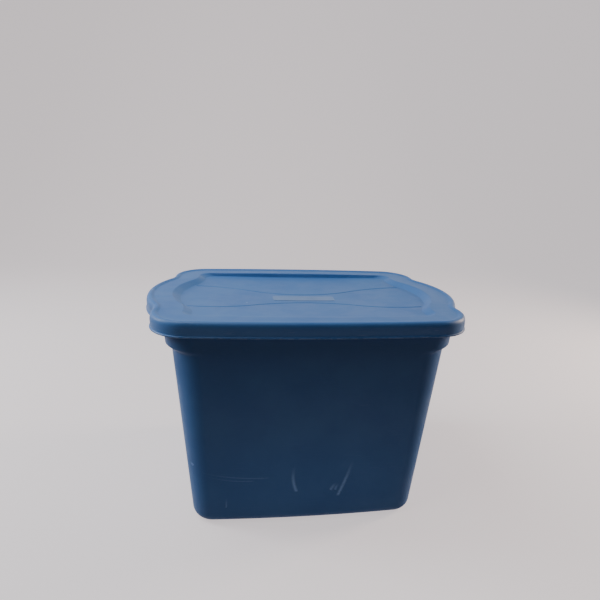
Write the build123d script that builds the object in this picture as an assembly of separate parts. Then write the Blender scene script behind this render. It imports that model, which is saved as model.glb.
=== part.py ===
from build123d import *

import os
from dataclasses import dataclass
from math import degrees, hypot, radians, sqrt, tan

# Storage tote in moulded polyethylene: an open tub and a separate lid that presses on over its rim.
# Millimetres. Origin at the bottom centre, +X along the long side, +Z up.

# Overall sizes
overall_length = 604.0  # over the lid's two end bulges
overall_width = 400.0  # over the lid's long sides
overall_height = 405.0  # floor to the lid's crest

# Plan outline of the lid: end bulge, hollow neck, corner lobe, slightly bowed long side
bulge_reach = 29.5  # how far each end bulge stands out past the corner lobes
bulge_radius = 186.0
neck_radius = 48.5
lobe_radius = 67.5
side_bow = 8.0
side_bow_span = 230.0  # half the length that the bow is measured over

# Lid
lid_wall = 2.2
skirt_height = 26.0
bead_height = 2.6  # outward bead round the skirt's lower edge
bead_reach = 1.5
crest_radius = 8.0
crest_width = 14.0  # from the skirt's face to the border's inner drop
border_drop = 2.5  # border plane below the crest

# Stacking recess in the lid
recess_depth = 6.0
end_border = 48.0  # from the lid's end to the recess
side_border = 44.5
stack_gap = 1.0  # beside the base of a like tote standing in the recess
recess_bulge_reach = 35.0
recess_bulge_radius = 150.0
recess_neck_radius = 70.0
recess_lobe_radius = 22.0
recess_end_slope = 14.0  # how far the end walls lean in on their way down
recess_side_slope = 3.0
dish_depth = 9.5  # middle of the panel below the recess floor
dish_end_margin = 36.0  # how far the dish would run on past the recess
dish_side_margin = 29.5

# Marks in the panel
groove_width = 2.6
groove_depth = 0.8
groove_waist = 28.0  # from the middle line, at the middle of the lid
groove_spread = 71.0  # from the middle line, at the ends
groove_straight = 49.0  # straight run at each end
pad_length = 124.0
pad_width = 30.0
pad_height = 0.8
pad_corner = 6.0

# Tub
tub_wall = 2.5
grip_reach = 47.7  # from the lid's end in to the tub's wall, at the rim
side_overhang = 8.1  # from the lid's side in to the tub's wall, at the rim
base_corner = 39.0
rim_corner = 64.0
end_draft_angle = 4.5
side_draft_angle = 3.0
tub_side_bow = 5.0
tub_side_bow_span = 190.0
tub_end_bow = 2.0
tub_end_bow_span = 140.0
foot_inset = 28.0  # from the base's edge to the raised middle
foot_height = 2.0

# Shoulder band, which steps the end walls out below the rim
band_reach = 10.0
band_drop = 58.3  # its foot, below the rim's top
band_rise = 8.5

# Rim
rim_wall = 2.4
lip_height = 21.0
lid_clearance = 0.5
flange_drop = 6.4  # hand flange below the rim's top
rib_thickness = 2.4
rib_places = (68.0, 100.0)  # from the middle line, on both sides of each hand hold


@dataclass(frozen=True)
class Arc:
    """One round stretch of a plan outline; a hollow stretch bends the other way."""

    x: float
    y: float
    radius: float
    hollow: bool = False

    def inset(self, amount):
        """The same stretch moved towards the inside of the outline."""
        grown = self.radius + amount if self.hollow else self.radius - amount
        return Arc(self.x, self.y, grown, self.hollow)


def bow_radius(bow, span):
    """Radius of an arc that rises by bow over half a chord of span."""
    return (span**2 + bow**2) / (2 * bow)


def circles_meet(x0, y0, r0, x1, y1, r1, side):
    """Where two circles meet, to the left (1) or right (-1) of the way from the first to the second."""
    apart = hypot(x1 - x0, y1 - y0)
    along = (r0**2 - r1**2 + apart**2) / (2 * apart)
    across = side * sqrt(r0**2 - along**2)
    ux, uy = (x1 - x0) / apart, (y1 - y0) / apart
    return x0 + ux * along - uy * across, y0 + uy * along + ux * across


def lobed_plan(length, width, lobes, bulge, neck, lobe, bow, span):
    """A quarter of a lobed outline, from the +X axis round to the +Y axis."""
    side_radius = bow_radius(bow, span)
    bulge_x = length / 2 - bulge
    side_y = width / 2 - side_radius
    lobe_x = lobes / 2 - lobe
    lobe_y = side_y + sqrt((side_radius - lobe) ** 2 - lobe_x**2)
    neck_x, neck_y = circles_meet(bulge_x, 0, bulge + neck, lobe_x, lobe_y, lobe + neck, -1)
    return [
        Arc(bulge_x, 0, bulge),
        Arc(neck_x, neck_y, neck, hollow=True),
        Arc(lobe_x, lobe_y, lobe),
        Arc(0, side_y, side_radius),
    ]


def rounded_plan(length, width, corner):
    """A quarter of the tub's outline, with bowed ends and sides."""
    end_radius = bow_radius(tub_end_bow, tub_end_bow_span)
    side_radius = bow_radius(tub_side_bow, tub_side_bow_span)
    end_x = length / 2 - end_radius
    side_y = width / 2 - side_radius
    corner_x, corner_y = circles_meet(
        end_x, 0, end_radius - corner, 0, side_y, side_radius - corner, 1
    )
    return [Arc(end_x, 0, end_radius), Arc(corner_x, corner_y, corner), Arc(0, side_y, side_radius)]


def join_point(first, second):
    """The point where two touching arcs run into each other."""
    base, other = (first, second)
    if first.hollow or (second.radius > first.radius and not second.hollow):
        base, other = (second, first)
    reach = base.radius / hypot(other.x - base.x, other.y - base.y)
    return base.x + (other.x - base.x) * reach, base.y + (other.y - base.y) * reach


def middle_point(arc, start, end):
    """The point half way along an arc of less than half a turn."""
    out_x = start[0] + end[0] - 2 * arc.x
    out_y = start[1] + end[1] - 2 * arc.y
    reach = arc.radius / hypot(out_x, out_y)
    return arc.x + out_x * reach, arc.y + out_y * reach


def outline(plan, inset, z):
    """The whole closed outline as a face, inset by a distance, at a height."""
    arcs = [arc.inset(inset) for arc in plan]
    last = arcs[-1]
    stops = [(arcs[0].x + arcs[0].radius, 0)]
    stops += [join_point(a, b) for a, b in zip(arcs, arcs[1:])]
    stops += [(0, last.y + last.radius)]
    quarter = [(s, middle_point(a, s, e), e) for a, s, e in zip(arcs, stops, stops[1:])]
    edges = []
    for flip_x, flip_y in ((1, 1), (-1, 1), (-1, -1), (1, -1)):
        turned = [[(px * flip_x, py * flip_y, z) for px, py in three] for three in quarter]
        if flip_x != flip_y:
            turned = [three[::-1] for three in turned[::-1]]
        edges += [ThreePointArc(*three) for three in turned]
    return Face(Wire(edges))


def prism(plan, inset, low, high):
    """An outline pulled straight up between two heights."""
    return extrude(outline(plan, inset, low), amount=high - low, dir=(0, 0, 1))


def top_edges(solid):
    """The edges round a solid's highest flat face."""
    return solid.faces().sort_by(Axis.Z)[-1].edges()


def bottom_edges(solid):
    """The edges round a solid's lowest flat face."""
    return solid.faces().sort_by(Axis.Z)[0].edges()


lid_plan = lobed_plan(
    overall_length,
    overall_width,
    overall_length - 2 * bulge_reach,
    bulge_radius,
    neck_radius,
    lobe_radius,
    side_bow,
    side_bow_span,
)
skirt_bottom = overall_height - skirt_height
border_z = overall_height - border_drop
floor_z = border_z - recess_depth
recess_length = overall_length - 2 * end_border
recess_width = overall_width - 2 * side_border
groove_turn = recess_length / 2 - groove_straight

rim_top = overall_height - lid_wall - lid_clearance
rim_inset = bead_reach + lid_wall + lid_clearance
rim_inner_inset = bead_reach + crest_width - lid_wall - lid_clearance
flange_top = rim_top - flange_drop
lip_bottom = rim_top - lip_height
wall_top = rim_top - rim_wall / 2
band_foot = rim_top - band_drop
end_draft = tan(radians(end_draft_angle))
side_draft = tan(radians(side_draft_angle))
base_length = overall_length - 2 * (grip_reach + band_reach + rim_top * end_draft)
base_width = overall_width - 2 * (side_overhang + rim_top * side_draft)
base_round = base_width / 2 - recess_width / 2 + recess_side_slope + stack_gap


def recess_plan(end_lean, side_lean):
    """The recess's outline, leaned in by different amounts at the ends and sides."""
    return lobed_plan(
        recess_length - 2 * end_lean,
        recess_width - 2 * side_lean,
        recess_length - 2 * recess_bulge_reach - 2 * end_lean,
        recess_bulge_radius,
        recess_neck_radius,
        recess_lobe_radius,
        side_bow,
        side_bow_span,
    )


def dish():
    """The lens-shaped hollow of the dished panel, down from the recess floor."""
    half_length = recess_length / 2 + dish_end_margin
    half_width = recess_width / 2 + dish_side_margin
    radius_along = bow_radius(dish_depth, half_length)
    swing = degrees(2 * half_length / radius_along)
    low = floor_z - dish_depth
    arc = ThreePointArc((0, -half_width, floor_z), (0, 0, low), (0, half_width, floor_z))
    lens = make_face([arc, Line(arc @ 1, arc @ 0)])
    axis = Axis((0, 0, low + radius_along), (0, 1, 0))
    return revolve(lens, axis, swing).rotate(axis, -swing / 2)


def top_relief(grow):
    """Everything above the border, the recess and the dished panel, grown sideways and lowered."""
    inner_crest = bead_reach + crest_width - grow
    upper = outline(recess_plan(0, 0), -grow, border_z)
    lower = outline(recess_plan(recess_end_slope, recess_side_slope), -grow, floor_z)
    deep = prism(recess_plan(recess_end_slope, recess_side_slope), -grow, floor_z - dish_depth, border_z)
    above = prism(lid_plan, inner_crest, border_z, overall_height + crest_radius)
    recess = loft([lower, upper], ruled=True)
    return (above + recess + (dish() & deep)).moved(Pos(0, 0, -grow))


def groove_band(side):
    """A waisted groove's plan: straight at the ends of the panel, swinging in at the middle."""
    rise = (groove_spread - groove_waist) / 2
    radius = bow_radius(rise, groove_turn / 2)
    line = [
        ThreePointArc(
            (-groove_turn / 2, side * (groove_waist + rise)),
            (0, side * groove_waist),
            (groove_turn / 2, side * (groove_waist + rise)),
        )
    ]
    for way in (-1, 1):
        spread = Arc(way * groove_turn, side * (groove_spread - radius), radius)
        start = (way * groove_turn / 2, side * (groove_waist + rise))
        stop = (way * groove_turn, side * groove_spread)
        line.append(ThreePointArc(start, middle_point(spread, start, stop), stop))
        line.append(Line(stop, (way * recess_length / 2, side * groove_spread)))
    return trace(line, groove_width)


def make_lid():
    """The lid: skirt with its bead, rounded crest, border, recess, dished panel, grooves and pad."""
    skirt = prism(lid_plan, bead_reach, skirt_bottom, overall_height)
    skirt = fillet(top_edges(skirt), crest_radius)
    bead = prism(lid_plan, 0, skirt_bottom, skirt_bottom + bead_height)
    bead = fillet(top_edges(bead), bead_reach * 0.9)
    hollow = prism(lid_plan, bead_reach + lid_wall, skirt_bottom - lid_wall, overall_height - lid_wall)
    hollow = fillet(top_edges(hollow), crest_radius - lid_wall)
    relief = top_relief(0)
    lid = skirt + bead - relief - (hollow - top_relief(lid_wall))
    cut_height = overall_height - floor_z + dish_depth + crest_radius
    cut_base = floor_z - dish_depth - groove_depth
    panel = prism(recess_plan(recess_end_slope, recess_side_slope), 0, cut_base, border_z)
    for side in (-1, 1):
        band = extrude(Pos(0, 0, cut_base) * groove_band(side), amount=cut_height, dir=(0, 0, 1))
        lid -= band & panel & relief.moved(Pos(0, 0, -groove_depth))
    pad = extrude(
        Pos(0, 0, cut_base) * RectangleRounded(pad_length, pad_width, pad_corner),
        amount=cut_height,
        dir=(0, 0, 1),
    )
    return lid + ((pad & relief) - relief.moved(Pos(0, 0, pad_height)))


def tub_section(z, inset, band):
    """The tub's outline at a height; band steps the ends out."""
    length = base_length + 2 * (z * end_draft + band * band_reach)
    width = base_width + 2 * z * side_draft
    corner = base_corner + (rim_corner - base_corner) * z / rim_top
    return outline(rounded_plan(length, width, corner), inset, z)


def tub_form(inset, floor, top):
    """The tub's solid form inside an inset, from a floor height to a top height."""
    stations = [(floor, 0), (band_foot, 0), (band_foot + band_rise, 1), (top, 1)]
    form = loft([tub_section(z, inset, band) for z, band in stations], ruled=True)
    return fillet(bottom_edges(form), base_round - inset)


def make_rim():
    """The rim before the mouth is opened: crest ring, turned-down lip, hand flange and ribs."""
    block = prism(lid_plan, rim_inset, lip_bottom, rim_top)
    block = fillet(top_edges(block), crest_radius - lid_wall - lid_clearance)
    above_flange = prism(lid_plan, rim_inner_inset, flange_top, overall_height)
    under_crest = prism(lid_plan, rim_inset + rim_wall, lip_bottom, rim_top - rim_wall)
    shelf = prism(lid_plan, rim_inner_inset - rim_wall, flange_top - rim_wall, rim_top)
    rim = block - (under_crest - shelf) - above_flange
    rib_rise = flange_top - rim_wall - lip_bottom
    ribs = [
        Pos(end * overall_length / 2, side * place, lip_bottom + rib_rise / 2)
        * Box(overall_length / 2, rib_thickness, rib_rise)
        for end in (-1, 1)
        for side in (-1, 1)
        for place in rib_places
    ]
    return rim + [rib & block for rib in ribs]


def make_tub():
    """The tub: drafted walls, shoulder band, base with a foot ring, and the rim round the mouth."""
    outer = tub_form(0, 0, wall_top)
    inner = tub_form(tub_wall, tub_wall + foot_height, overall_height)
    above_flange = prism(lid_plan, rim_inner_inset, flange_top, overall_height)
    raised = rounded_plan(
        base_length - 2 * foot_inset, base_width - 2 * foot_inset, base_corner - foot_inset
    )
    foot_hollow = prism(raised, 0, 0, foot_height)
    return (outer + make_rim()) - above_flange - inner - foot_hollow


os.makedirs("parts", exist_ok=True)
nodes = {"tub": make_tub(), "lid": make_lid()}
for name, solid in nodes.items():
    export_step(solid, f"parts/{name}.step")
    print(name, len(solid.solids()), round(solid.volume), solid.bounding_box())
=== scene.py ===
import logging
from dataclasses import dataclass, field
from enum import Enum
from math import asin, atan2, cos, hypot, pi, radians, sin, sqrt
from typing import Iterable, Sequence

import bmesh
import bpy
from mathutils import Matrix, Vector


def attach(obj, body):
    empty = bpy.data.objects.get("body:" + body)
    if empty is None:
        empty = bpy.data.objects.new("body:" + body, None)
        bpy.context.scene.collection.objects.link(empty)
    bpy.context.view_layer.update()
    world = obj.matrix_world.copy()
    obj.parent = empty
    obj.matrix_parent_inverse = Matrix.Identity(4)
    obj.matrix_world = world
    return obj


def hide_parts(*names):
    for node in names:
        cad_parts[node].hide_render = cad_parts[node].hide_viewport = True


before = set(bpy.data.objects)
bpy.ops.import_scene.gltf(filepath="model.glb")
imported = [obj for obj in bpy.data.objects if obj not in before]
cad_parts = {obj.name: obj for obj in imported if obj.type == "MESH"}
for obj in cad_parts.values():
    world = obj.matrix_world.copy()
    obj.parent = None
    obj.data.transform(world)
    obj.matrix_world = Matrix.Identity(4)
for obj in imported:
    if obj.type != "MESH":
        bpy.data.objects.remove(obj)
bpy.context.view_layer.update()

MM = 0.001
STATION = "station"
MERGE_DISTANCE = 1e-7
FLIPS = ((1.0, 1.0), (-1.0, 1.0), (-1.0, -1.0), (1.0, -1.0))  # the four quarters, in order
EDGE_PULL = 8  # how sharply the panel's rows turn to meet its edge
GROOVE_RUNOUT = 5.0  # length over which a groove fades at the panel's end, in millimetres
GROOVE_ROWS = (0.7, 0.35)  # rows across half a groove, as shares of it
ROUND_STEPS = (-1.0, -0.6, -0.2, 0.2, 0.6, 1.0)  # rings through a rounded edge of the recess
SOFT_LIMIT = 0.45  # the most of a recess wall that one rounding may take
BORDER_RINGS = 4
SMOOTH_ANGLE = 40.0  # in degrees
PAD_RUN = 24
PAD_SIDE_RUN = 5
PAD_LEAST_RADIUS = 0.2
LIP_ARCH = (0.3, 0.7)  # rings over the lip's top, as shares of the way across
EASED = {"interpolation_type": "SMOOTHSTEP"}
STROKE_HEAD = 0.75  # share of a scuff over which it grows
STROKE_TAIL = 0.92  # share of a scuff where it starts to end
STROKE_ARCH = -4.0  # makes a bow that is 1 in the middle and 0 at both ends
log = logging.getLogger("tote")

Point = tuple[float, float]
Ring = list[Vector]


class Body(Enum):
    """The moving bodies of the tote."""

    TUB = "tub"
    LID = "lid"


class Slot(Enum):
    """Names of finish slots; no piece is given one here."""

    TUB = "tub_polyethylene"
    LID = "lid_polyethylene"


# ---------------------------------------------------------------- plan outlines


def bow_radius(bow: float, span: float) -> float:
    """Radius of an arc that rises by a bow over half a chord.

    Args:
        bow: Rise of the arc, in millimetres.
        span: Half the chord, in millimetres.

    Returns:
        The radius in millimetres.
    """
    return (span**2 + bow**2) / (2 * bow)


def circles_meet(first: Point, r0: float, second: Point, r1: float, side: int) -> Point:
    """Where two circles meet.

    Args:
        first: Centre of the first circle.
        r0: Its radius.
        second: Centre of the second circle.
        r1: Its radius.
        side: 1 for the meeting point left of the way between the centres, -1 for the right.

    Returns:
        The meeting point.
    """
    apart = hypot(second[0] - first[0], second[1] - first[1])
    along = (r0**2 - r1**2 + apart**2) / (2 * apart)
    across = side * sqrt(r0**2 - along**2)
    ux, uy = (second[0] - first[0]) / apart, (second[1] - first[1]) / apart
    return first[0] + ux * along - uy * across, first[1] + uy * along + ux * across


def smoothstep(value: float) -> float:
    """An even ease between 0 and 1.

    Args:
        value: Position along the ease; it is held between 0 and 1.

    Returns:
        The eased value.
    """
    t = min(1.0, max(0.0, value))
    return t * t * (3 - 2 * t)


def blend(a: float, b: float, t: float) -> float:
    """A value on the way from a to b.

    Args:
        a: Value at t = 0.
        b: Value at t = 1.
        t: How far along.

    Returns:
        The blended value.
    """
    return a + (b - a) * t


@dataclass(frozen=True)
class Arc:
    """One round stretch of a plan outline; a hollow stretch bends the other way."""

    centre: Point
    radius: float
    start: float
    stop: float
    hollow: bool = False

    def point(self, fraction: float, inset: float = 0.0) -> Point:
        """A point on the stretch, or level with it inside the outline.

        Args:
            fraction: How far along the stretch, from 0 to 1.
            inset: Distance in from the outline, in millimetres.

        Returns:
            The point in plan.
        """
        angle = blend(self.start, self.stop, fraction)
        reach = self.radius + inset if self.hollow else self.radius - inset
        return self.centre[0] + reach * cos(angle), self.centre[1] + reach * sin(angle)

    def outward(self, fraction: float) -> Point:
        """The outward direction at a place on the stretch.

        Args:
            fraction: How far along the stretch, from 0 to 1.

        Returns:
            A unit direction in plan.
        """
        angle = blend(self.start, self.stop, fraction)
        way = -1.0 if self.hollow else 1.0
        return way * cos(angle), way * sin(angle)


class Stretch(Enum):
    """The stretches of a quarter of a lobed outline, from the end round to the side."""

    BULGE = 0
    NECK = 1
    LOBE = 2
    SIDE = 3


@dataclass(frozen=True)
class LobedPlan:
    """A quarter of an outline with bulged ends, hollow necks, corner lobes and bowed sides."""

    length: float
    width: float
    lobes: float
    bulge: float
    neck: float
    lobe: float
    bow: float
    span: float

    def arcs(self) -> list[Arc]:
        """The stretches in order.

        Returns:
            Bulge, neck, lobe and side.
        """
        side_radius = bow_radius(self.bow, self.span)
        bulge = (self.length / 2 - self.bulge, 0.0)
        side = (0.0, self.width / 2 - side_radius)
        lobe_x = self.lobes / 2 - self.lobe
        lobe = (lobe_x, side[1] + sqrt((side_radius - self.lobe) ** 2 - lobe_x**2))
        neck = circles_meet(bulge, self.bulge + self.neck, lobe, self.lobe + self.neck, -1)
        first = atan2(neck[1] - bulge[1], neck[0] - bulge[0])
        second = atan2(neck[1] - lobe[1], neck[0] - lobe[0])
        third = atan2(lobe[1] - side[1], lobe[0] - side[0])
        return [
            Arc(bulge, self.bulge, 0.0, first),
            Arc(neck, self.neck, first + pi, second + pi, hollow=True),
            Arc(lobe, self.lobe, second, third),
            Arc(side, side_radius, third, pi / 2),
        ]


@dataclass(frozen=True)
class Station:
    """One place round an outline: a stretch, how far along it, and the quarter it lies in."""

    stretch: Stretch
    fraction: float
    flip: Point = (1.0, 1.0)

    def on(self, arcs: Sequence[Arc], inset: float = 0.0) -> Vector:
        """This place on an outline.

        Args:
            arcs: The outline's stretches.
            inset: Distance in from the outline, in millimetres.

        Returns:
            The point in plan, in its own quarter.
        """
        x, y = arcs[self.stretch.value].point(self.fraction, inset)
        return Vector((x * self.flip[0], y * self.flip[1]))

    def turned(self, flip: Point) -> "Station":
        """The matching place in another quarter.

        Args:
            flip: Signs of x and y in that quarter.

        Returns:
            The matching place.
        """
        return Station(self.stretch, self.fraction, flip)


def station_at(arcs: Sequence[Arc], y: float) -> Station:
    """The place on an outline's end at a distance from the middle line.

    Args:
        arcs: The outline's stretches.
        y: The distance.

    Returns:
        The place.
    """
    bulge, neck = arcs[0], arcs[1]
    angle = asin(y / bulge.radius)
    if angle <= bulge.stop:
        return Station(Stretch.BULGE, angle / bulge.stop)
    angle = pi - asin((y - neck.centre[1]) / neck.radius)
    return Station(Stretch.NECK, (angle - neck.start) / (neck.stop - neck.start))


# ---------------------------------------------------------------- shared sizes


@dataclass(frozen=True)
class ToteSizes:
    """Sizes that the lid and the tub share, in millimetres."""

    length: float = 604.0
    width: float = 400.0
    height: float = 405.0
    lobes: float = 545.0
    bulge_radius: float = 186.0
    neck_radius: float = 48.5
    lobe_radius: float = 67.5
    side_bow: float = 8.0
    side_span: float = 230.0

    def lid_arcs(self) -> list[Arc]:
        """The lid's outline over its bead.

        Returns:
            The stretches of a quarter.
        """
        return LobedPlan(
            self.length,
            self.width,
            self.lobes,
            self.bulge_radius,
            self.neck_radius,
            self.lobe_radius,
            self.side_bow,
            self.side_span,
        ).arcs()


# ---------------------------------------------------------------- mesh building


def deselect_all() -> None:
    """Leaves object mode and deselects every object."""
    if bpy.context.object and bpy.context.object.mode != "OBJECT":
        bpy.ops.object.mode_set(mode="OBJECT")
    bpy.ops.object.select_all(action="DESELECT")


def make_active(obj: bpy.types.Object) -> None:
    """Makes one object the only selected one.

    Args:
        obj: The object.
    """
    deselect_all()
    obj.select_set(True)
    bpy.context.view_layer.objects.active = obj


def place_points(obj: bpy.types.Object, points: Sequence[Vector]) -> None:
    """Moves an object's vertices, in their order, to points given in millimetres.

    Args:
        obj: The object, in object mode.
        points: One point for each vertex.
    """
    flat = [value * MM for point in points for value in point]
    obj.data.vertices.foreach_set("co", flat)
    obj.data.update()


def mark_stations(obj: bpy.types.Object, numbers: Sequence[int]) -> None:
    """Numbers an object's vertices, so that rings pulled out of them keep the numbers.

    Args:
        obj: The object, in object mode.
        numbers: One number for each vertex, or -1 for a vertex inside a surface.
    """
    layer = obj.data.attributes.new(STATION, "INT", "POINT")
    layer.data.foreach_set("value", list(numbers))


def pull_rings(obj: bpy.types.Object, rings: Iterable[Ring]) -> None:
    """Extrudes an object's open edge ring after ring.

    Args:
        obj: The object, whose open edge carries the station numbers.
        rings: For each new ring, a point in millimetres for each station.
    """
    make_active(obj)
    bpy.ops.object.mode_set(mode="EDIT")
    bpy.ops.mesh.select_mode(type="EDGE")
    bpy.ops.mesh.select_all(action="DESELECT")
    bpy.ops.mesh.select_non_manifold(extend=False)
    for ring in rings:
        bpy.ops.mesh.extrude_edges_move()
        edit = bmesh.from_edit_mesh(obj.data)
        layer = edit.verts.layers.int[STATION]
        for vertex in edit.verts:
            if vertex.select:
                vertex.co = ring[vertex[layer]] * MM
        bmesh.update_edit_mesh(obj.data)
    bpy.ops.object.mode_set(mode="OBJECT")


def close_shell(obj: bpy.types.Object, smooth_angle: float) -> None:
    """Merges the meeting edges, turns the faces outward and shades them smooth.

    Args:
        obj: The object.
        smooth_angle: Edges sharper than this stay sharp, in degrees.
    """
    make_active(obj)
    bpy.ops.object.mode_set(mode="EDIT")
    bpy.ops.mesh.select_all(action="SELECT")
    bpy.ops.mesh.remove_doubles(threshold=MERGE_DISTANCE)
    bpy.ops.mesh.fill_holes(sides=0)
    bpy.ops.mesh.select_all(action="SELECT")
    bpy.ops.mesh.normals_make_consistent(inside=False)
    bpy.ops.object.mode_set(mode="OBJECT")
    layer = obj.data.attributes.get(STATION)
    if layer:
        obj.data.attributes.remove(layer)
    bpy.ops.object.shade_smooth_by_angle(angle=radians(smooth_angle))


def level(points: Sequence[Vector], heights: Sequence[float]) -> Ring:
    """Lifts plan points to their heights.

    Args:
        points: Points in plan.
        heights: One height for each point.

    Returns:
        The ring.
    """
    return [Vector((p.x, p.y, z)) for p, z in zip(points, heights)]


# ---------------------------------------------------------------- the lid


@dataclass(frozen=True)
class GrooveSizes:
    """The two waisted grooves across the lid's panel, in millimetres."""

    width: float = 5.2
    depth: float = 1.6
    waist: float = 28.0
    spread: float = 71.0
    turn: float = 205.0
    margin: float = 3.2

    def line(self, x: float) -> float:
        """The groove's distance from the middle line.

        Args:
            x: Distance from the middle of the lid, along it.

        Returns:
            The distance.
        """
        rise = (self.spread - self.waist) / 2
        half = self.turn / 2
        radius = bow_radius(rise, half)
        x = abs(x)
        if x < half:
            return self.waist + radius - sqrt(radius**2 - x**2)
        if x < self.turn:
            return self.spread - radius + sqrt(radius**2 - (self.turn - x) ** 2)
        return self.spread

    def sink(self, off: float) -> float:
        """How far the surface sinks beside the groove's line.

        Args:
            off: Distance from the line.

        Returns:
            Depth below the panel.
        """
        if abs(off) >= self.width / 2:
            return 0.0
        return self.depth * cos(pi * off / self.width) ** 2


@dataclass
class Lid:
    """The press-on lid: skirt with a bead, rounded crest, border, recess and dished panel."""

    sizes: ToteSizes = field(default_factory=ToteSizes)
    groove: GrooveSizes = field(default_factory=GrooveSizes)
    wall: float = 2.2
    border_drop: float = 2.5
    recess_depth: float = 6.0
    recess_length: float = 508.0
    recess_width: float = 311.0
    recess_lobes: float = 438.0
    recess_bulge: float = 150.0
    recess_neck: float = 70.0
    recess_lobe: float = 22.0
    end_slope: float = 14.0
    side_slope: float = 3.0
    edge_round: float = 1.5
    dish_depth: float = 9.5
    dish_length_radius: float = 4431.0
    dish_width_radius: float = 1806.0
    dish_fade: float = 0.6
    # (inset, height below the crest) round the outside, from the border to the skirt's inside
    crest_profile: tuple[Point, ...] = (
        (17.0, 2.5), (15.6, 2.38), (14.4, 1.95), (13.3, 1.35), (12.2, 0.75), (11.0, 0.3),
        (9.8, 0.06), (8.6, 0.0), (7.4, 0.2), (6.1, 0.75), (4.9, 1.6), (3.8, 2.8), (2.9, 4.4),
        (2.2, 6.4), (1.75, 8.8), (1.55, 11.6), (1.5, 15.0), (1.5, 19.0), (1.5, 22.2),
        (1.35, 22.7), (0.9, 23.05), (0.4, 23.4), (0.12, 23.95), (0.08, 24.7), (0.16, 25.4),
        (0.5, 25.85), (1.1, 26.0), (2.9, 26.0), (3.4, 25.85), (3.7, 25.3),
    )
    inside_profile: tuple[Point, ...] = (
        (3.7, 18.0), (3.7, 11.0), (4.0, 6.5), (4.6, 5.0), (5.5, 3.7), (6.4, 2.85), (7.5, 2.4),
        (9.0, 2.2), (11.0, 2.6), (13.5, 4.1), (15.0, 4.6), (17.0, 4.7),
    )
    below_rows: int = 18
    neck_rows: int = 14
    lobe_steps: int = 16
    side_columns: int = 44
    corner_fraction: float = 0.5

    def __post_init__(self) -> None:
        """Works out the outlines and the numbering of the panel's edge."""
        self.foot_arcs = self.recess_arcs(self.end_slope, self.side_slope)
        self.top_arcs = self.recess_arcs(0.0, 0.0)
        self.places = self.edge_places()
        self.numbers = {key: number for number, key in enumerate(self.places)}

    def border_z(self) -> float:
        """Height of the border.

        Returns:
            The height in millimetres.
        """
        return self.sizes.height - self.border_drop

    def panel_z(self, x: float, y: float) -> float:
        """Height of the dished panel, carried on past the recess walls.

        Args:
            x: Distance along the lid from its middle.
            y: Distance across the lid from its middle.

        Returns:
            The height in millimetres.
        """
        sag = self.dish_depth
        sag -= x * x / (2 * self.dish_length_radius) + y * y / (2 * self.dish_width_radius)
        sag = (sag + sqrt(sag * sag + self.dish_fade**2)) / 2
        return self.border_z() - self.recess_depth - sag

    def recess_arcs(self, end_lean: float, side_lean: float) -> list[Arc]:
        """The recess's outline, leaned in at the ends and the sides.

        Args:
            end_lean: How far the ends lean in.
            side_lean: How far the sides lean in.

        Returns:
            The stretches of a quarter.
        """
        return LobedPlan(
            self.recess_length - 2 * end_lean,
            self.recess_width - 2 * side_lean,
            self.recess_lobes - 2 * end_lean,
            self.recess_bulge,
            self.recess_neck,
            self.recess_lobe,
            self.sizes.side_bow,
            self.sizes.side_span,
        ).arcs()

    def end_stations(self) -> list[Station]:
        """Places on the recess's end, from the middle line out to the corner.

        Returns:
            One place for each row of the panel.
        """
        arcs = self.foot_arcs
        groove = self.groove
        low = groove.spread - groove.margin
        heights = [low * i / self.below_rows for i in range(self.below_rows)]
        heights += [groove.spread + off for off in self.groove_offsets()]
        stations = [station_at(arcs, y) for y in heights]
        last = stations[-1]
        steps = self.neck_rows
        if last.stretch is Stretch.BULGE:
            bulge_steps = max(1, round(steps * (1 - last.fraction)))
            for i in range(1, bulge_steps + 1):
                stations.append(Station(Stretch.BULGE, blend(last.fraction, 1.0, i / bulge_steps)))
            last = Station(Stretch.NECK, 0.0)
        for i in range(1, steps + 1):
            stations.append(Station(Stretch.NECK, blend(last.fraction, 1.0, i / steps)))
        for i in range(1, self.lobe_steps + 1):
            part = self.corner_fraction * i / self.lobe_steps
            stations.append(Station(Stretch.LOBE, part))
        return stations

    def groove_offsets(self) -> list[float]:
        """Distances from a groove's line at which the panel has a row.

        Returns:
            The distances, from the middle line outward.
        """
        half = self.groove.width / 2
        side = [self.groove.margin, half] + [half * share for share in GROOVE_ROWS]
        return [-off for off in side] + [0.0] + side[::-1]

    def side_stations(self) -> list[Station]:
        """Places on the recess's side, from the middle out to the corner.

        Returns:
            One place for each column of the panel.
        """
        stations = []
        for i in range(self.side_columns + 1):
            stations.append(Station(Stretch.SIDE, 1 - i / self.side_columns))
        for i in range(1, self.lobe_steps + 1):
            part = 1 - (1 - self.corner_fraction) * i / self.lobe_steps
            stations.append(Station(Stretch.LOBE, part))
        return stations

    def wall_foot(self, station: Station, out: float) -> Vector:
        """The panel's edge, a little inside the foot of the recess wall.

        Args:
            station: The place round the recess.
            out: Distance to carry the edge outward.

        Returns:
            The point in plan.
        """
        foot, lean, soft = self.wall_line(station)
        return foot - lean * soft + lean.normalized() * out

    def wall_line(self, station: Station) -> tuple[Vector, Vector, float]:
        """The recess wall at a place round it.

        Args:
            station: The place.

        Returns:
            The foot, the way from the foot to the top, and the rounded part of that way.
        """
        foot = station.on(self.foot_arcs)
        lean = station.on(self.top_arcs) - foot
        return foot, lean, min(self.edge_round / lean.length, SOFT_LIMIT)

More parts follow.
